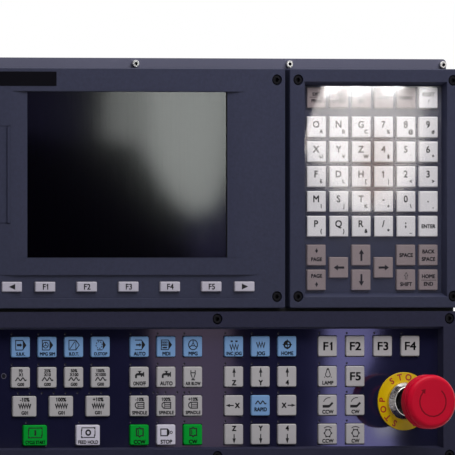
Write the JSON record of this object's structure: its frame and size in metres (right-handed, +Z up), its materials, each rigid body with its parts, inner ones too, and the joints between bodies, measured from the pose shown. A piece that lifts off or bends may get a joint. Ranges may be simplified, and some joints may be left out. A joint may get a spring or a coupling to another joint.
{
  "type": "machine tool control panel",
  "caption": "Operator station of a milling machine: screen unit, keypad unit and operator key panel with an emergency stop, on one mounting plate.",
  "frame": {"origin": "centre of the mounting plate's back face, in the middle of its four corner studs", "axes": "+X to the operator's right along the panel's width, +Z up, and the front faces -Y"},
  "size_m": [0.4072, 0.1169, 0.3116],
  "materials": {
    "plate_paint": "satin powder coat",
    "screw_nickel": "nickel plated",
    "screw_black": "black oxide",
    "bezel_plastic": "fine moulded texture",
    "gasket_rubber": "matte",
    "screen_glass": "polished",
    "screen_panel": "dark screen",
    "nameplate_black": "satin",
    "port_plastic": "moulded",
    "pin_steel": "ground",
    "circuit_board": "solder mask",
    "cover_steel": "zinc plated",
    "fan_plastic": "moulded",
    "letter_key": "moulded caps",
    "clear_film": "clear film",
    "ribbon_grey": "flat cable",
    "overlay_gloss": "glossy print",
    "panel_key_plastic": "moulded caps",
    "ring_yellow": "printed",
    "collar_chrome": "polished",
    "stem_black": "satin",
    "head_red": "satin",
    "soft_key_plastic": "moulded caps",
    "edit_key": "moulded caps",
    "white_key": "moulded caps",
    "green_key": "moulded caps"
  },
  "bodies": {
    "panel": {"mounting_plate": "plate_paint", "plate_screws": "screw_nickel", "unit_screws": "screw_black", "unit_gaskets": "gasket_rubber", "display_bezel": "bezel_plastic", "display_glass": "screen_glass", "lcd_module": "screen_panel", "nameplate": "nameplate_black", "interface_module": "port_plastic", "door_hinge_pin": "pin_steel", "softkey_board": "circuit_board", "main_board": "circuit_board", "display_rear_cover": "cover_steel", "display_cover_back": "cover_steel", "fan_frame": "fan_plastic", "keypad_bezel": "bezel_plastic", "keypad_key_plate": "letter_key", "keypad_film": "clear_film", "keypad_board": "circuit_board", "keypad_rear_cover": "cover_steel", "keypad_ribbon": "ribbon_grey", "operator_bezel": "bezel_plastic", "operator_overlay": "overlay_gloss", "operator_key_mat": "panel_key_plastic", "operator_board": "circuit_board", "operator_rear_cover": "cover_steel", "operator_cover_back": "cover_steel", "operator_ribbon": "ribbon_grey", "estop_legend_ring": "ring_yellow", "estop_body": "collar_chrome", "estop_nut": "port_plastic", "estop_contact_block": "port_plastic"},
    "card_door": {"card_door": "bezel_plastic"},
    "fan_rotor": {"fan_rotor": "fan_plastic"},
    "estop_plunger": {"estop_plunger": "stem_black"},
    "estop_head": {"estop_head": "head_red"},
    "soft_key_left": {"soft_key_left": "soft_key_plastic"},
    "soft_key_f1": {"soft_key_f1": "soft_key_plastic"},
    "soft_key_f2": {"soft_key_f2": "soft_key_plastic"},
    "soft_key_f3": {"soft_key_f3": "soft_key_plastic"},
    "soft_key_f4": {"soft_key_f4": "soft_key_plastic"},
    "soft_key_f5": {"soft_key_f5": "soft_key_plastic"},
    "soft_key_right": {"soft_key_right": "soft_key_plastic"},
    "page_up_key": {"page_up_key": "edit_key"},
    "page_down_key": {"page_down_key": "edit_key"},
    "cursor_left_key": {"cursor_left_key": "edit_key"},
    "cursor_up_key": {"cursor_up_key": "edit_key"},
    "cursor_down_key": {"cursor_down_key": "edit_key"},
    "cursor_right_key": {"cursor_right_key": "edit_key"},
    "space_key": {"space_key": "edit_key"},
    "shift_key": {"shift_key": "edit_key"},
    "back_space_key": {"back_space_key": "edit_key"},
    "home_end_key": {"home_end_key": "edit_key"},
    "reset_key": {"reset_key": "white_key"},
    "enter_key": {"enter_key": "white_key"},
    "cycle_start_key": {"cycle_start_key": "green_key"},
    "feed_hold_key": {"feed_hold_key": "white_key"},
    "spindle_ccw_key": {"spindle_ccw_key": "green_key"},
    "spindle_stop_key": {"spindle_stop_key": "white_key"},
    "spindle_cw_key": {"spindle_cw_key": "green_key"}
  },
  "joints": [
    {"name": "door_swing", "type": "hinge", "parent": "panel", "child": "card_door", "pos_m": [-0.1948, -0.0118, 0.0683], "axis": [0, 0, -1], "range_deg": [0, 95]},
    {"name": "fan_spin", "type": "hinge", "parent": "panel", "child": "fan_rotor", "pos_m": [0.0144, 0.0445, 0.0783], "axis": [0, 1, 0], "continuous": true},
    {"name": "estop_push", "type": "slide", "parent": "panel", "child": "estop_plunger", "axis": [0, 1, 0], "range_m": [0, 0.005]},
    {"name": "estop_twist", "type": "hinge", "parent": "estop_plunger", "child": "estop_head", "pos_m": [0.1583, -0.048, -0.1022], "axis": [0, 1, 0], "range_deg": [0, 40], "stiffness_Nm_per_rad": 0.05},
    {"name": "soft_key_left_press", "type": "slide", "parent": "panel", "child": "soft_key_left", "axis": [0, 1, 0], "range_m": [0, 0.001], "stiffness_N_per_m": 500},
    {"name": "soft_key_f1_press", "type": "slide", "parent": "panel", "child": "soft_key_f1", "axis": [0, 1, 0], "range_m": [0, 0.001], "stiffness_N_per_m": 500},
    {"name": "soft_key_f2_press", "type": "slide", "parent": "panel", "child": "soft_key_f2", "axis": [0, 1, 0], "range_m": [0, 0.001], "stiffness_N_per_m": 500},
    {"name": "soft_key_f3_press", "type": "slide", "parent": "panel", "child": "soft_key_f3", "axis": [0, 1, 0], "range_m": [0, 0.001], "stiffness_N_per_m": 500},
    {"name": "soft_key_f4_press", "type": "slide", "parent": "panel", "child": "soft_key_f4", "axis": [0, 1, 0], "range_m": [0, 0.001], "stiffness_N_per_m": 500},
    {"name": "soft_key_f5_press", "type": "slide", "parent": "panel", "child": "soft_key_f5", "axis": [0, 1, 0], "range_m": [0, 0.001], "stiffness_N_per_m": 500},
    {"name": "soft_key_right_press", "type": "slide", "parent": "panel", "child": "soft_key_right", "axis": [0, 1, 0], "range_m": [0, 0.001], "stiffness_N_per_m": 500},
    {"name": "page_up_press", "type": "slide", "parent": "panel", "child": "page_up_key", "axis": [0, 1, 0], "range_m": [0, 0.001], "stiffness_N_per_m": 500},
    {"name": "page_down_press", "type": "slide", "parent": "panel", "child": "page_down_key", "axis": [0, 1, 0], "range_m": [0, 0.001], "stiffness_N_per_m": 500},
    {"name": "cursor_left_press", "type": "slide", "parent": "panel", "child": "cursor_left_key", "axis": [0, 1, 0], "range_m": [0, 0.001], "stiffness_N_per_m": 500},
    {"name": "cursor_up_press", "type": "slide", "parent": "panel", "child": "cursor_up_key", "axis": [0, 1, 0], "range_m": [0, 0.001], "stiffness_N_per_m": 500},
    {"name": "cursor_down_press", "type": "slide", "parent": "panel", "child": "cursor_down_key", "axis": [0, 1, 0], "range_m": [0, 0.001], "stiffness_N_per_m": 500},
    {"name": "cursor_right_press", "type": "slide", "parent": "panel", "child": "cursor_right_key", "axis": [0, 1, 0], "range_m": [0, 0.001], "stiffness_N_per_m": 500},
    {"name": "space_press", "type": "slide", "parent": "panel", "child": "space_key", "axis": [0, 1, 0], "range_m": [0, 0.001], "stiffness_N_per_m": 500},
    {"name": "shift_press", "type": "slide", "parent": "panel", "child": "shift_key", "axis": [0, 1, 0], "range_m": [0, 0.001], "stiffness_N_per_m": 500},
    {"name": "back_space_press", "type": "slide", "parent": "panel", "child": "back_space_key", "axis": [0, 1, 0], "range_m": [0, 0.001], "stiffness_N_per_m": 500},
    {"name": "home_end_press", "type": "slide", "parent": "panel", "child": "home_end_key", "axis": [0, 1, 0], "range_m": [0, 0.001], "stiffness_N_per_m": 500},
    {"name": "reset_press", "type": "slide", "parent": "panel", "child": "reset_key", "axis": [0, 1, 0], "range_m": [0, 0.001], "stiffness_N_per_m": 500},
    {"name": "enter_press", "type": "slide", "parent": "panel", "child": "enter_key", "axis": [0, 1, 0], "range_m": [0, 0.001], "stiffness_N_per_m": 500},
    {"name": "cycle_start_press", "type": "slide", "parent": "panel", "child": "cycle_start_key", "axis": [0, 1, 0], "range_m": [0, 0.001], "stiffness_N_per_m": 500},
    {"name": "feed_hold_press", "type": "slide", "parent": "panel", "child": "feed_hold_key", "axis": [0, 1, 0], "range_m": [0, 0.001], "stiffness_N_per_m": 500},
    {"name": "spindle_ccw_press", "type": "slide", "parent": "panel", "child": "spindle_ccw_key", "axis": [0, 1, 0], "range_m": [0, 0.001], "stiffness_N_per_m": 500},
    {"name": "spindle_stop_press", "type": "slide", "parent": "panel", "child": "spindle_stop_key", "axis": [0, 1, 0], "range_m": [0, 0.001], "stiffness_N_per_m": 500},
    {"name": "spindle_cw_press", "type": "slide", "parent": "panel", "child": "spindle_cw_key", "axis": [0, 1, 0], "range_m": [0, 0.001], "stiffness_N_per_m": 500}
  ]
}
